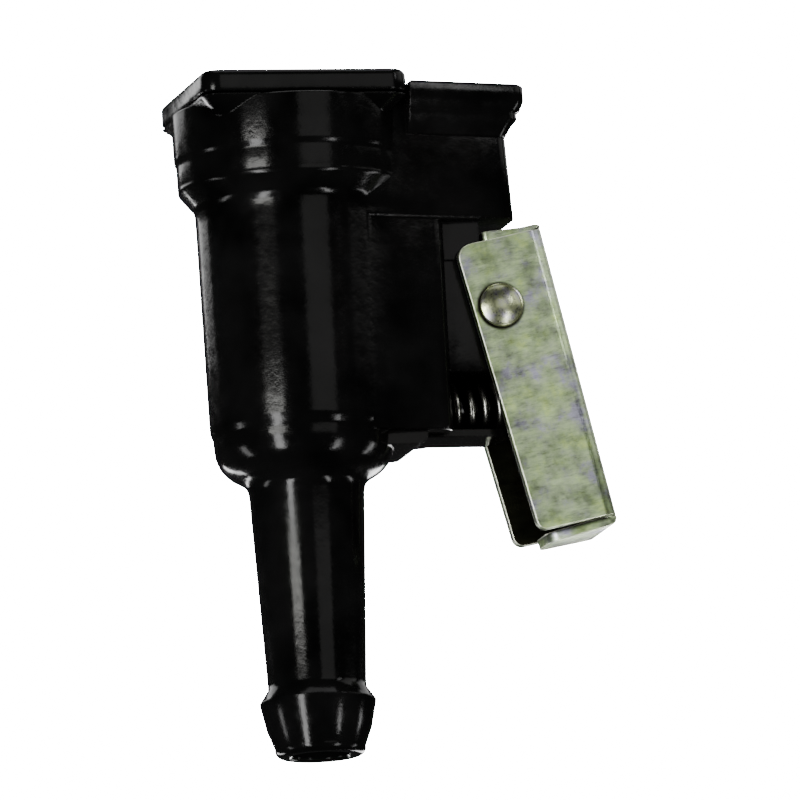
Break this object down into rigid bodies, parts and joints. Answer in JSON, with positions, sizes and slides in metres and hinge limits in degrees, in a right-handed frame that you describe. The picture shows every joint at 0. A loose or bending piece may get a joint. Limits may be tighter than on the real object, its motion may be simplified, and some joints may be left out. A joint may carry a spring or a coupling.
{
  "type": "fuel line quick connector",
  "caption": "Hose-end quick connector: fuel socket and guide pin hole side by side, barbed hose tail below, sprung metal latch lever at the side, check valve inside.",
  "frame": {"origin": "on the fuel axis, in the mating face of the socket cap", "axes": "+Z out of the socket towards the motor, hose tail down -Z; +X from the fuel axis to the guide pin hole and the latch lever; -Y is the side with the rivet's domed head"},
  "size_m": [0.0422, 0.0232, 0.0678],
  "materials": {
    "body_nylon": "black moulded nylon, satin to gloss",
    "seal_rubber": "black nitrile rubber",
    "inner_acetal": "natural acetal",
    "seat_brass": "turned brass",
    "lever_zinc": "pressed sheet steel, zinc plated, fine scratches",
    "rivet_steel": "bright steel, domed by the rivet set",
    "spring_wire": "drawn spring wire"
  },
  "bodies": {
    "connector": {"connector_body": "body_nylon", "socket_cap": "body_nylon", "socket_oring": "seal_rubber", "seal_carrier": "inner_acetal", "valve_seat": "seat_brass", "seat_gasket": "seal_rubber", "spring_retainer": "inner_acetal", "valve_spring": "spring_wire", "lever_rivet": "rivet_steel", "rivet_washer": "rivet_steel", "lever_spring": "spring_wire"},
    "latch": {"latch_lever": "lever_zinc"},
    "plunger": {"valve_plunger": "inner_acetal", "plunger_seal": "seal_rubber"}
  },
  "joints": [
    {"name": "latch_pivot", "type": "hinge", "parent": "connector", "child": "latch", "pos_m": [0.0196, 0, -0.0234], "axis": [0, 1, 0], "range_deg": [0, 10], "stiffness_Nm_per_rad": 0.12, "springref_deg": -11.46, "deforming": ["lever_spring"]},
    {"name": "plunger_slide", "type": "slide", "parent": "connector", "child": "plunger", "axis": [0, 0, 1], "range_m": [-0.004, 0], "stiffness_N_per_m": 300, "springref_m": 0.003, "deforming": ["valve_spring"]}
  ]
}
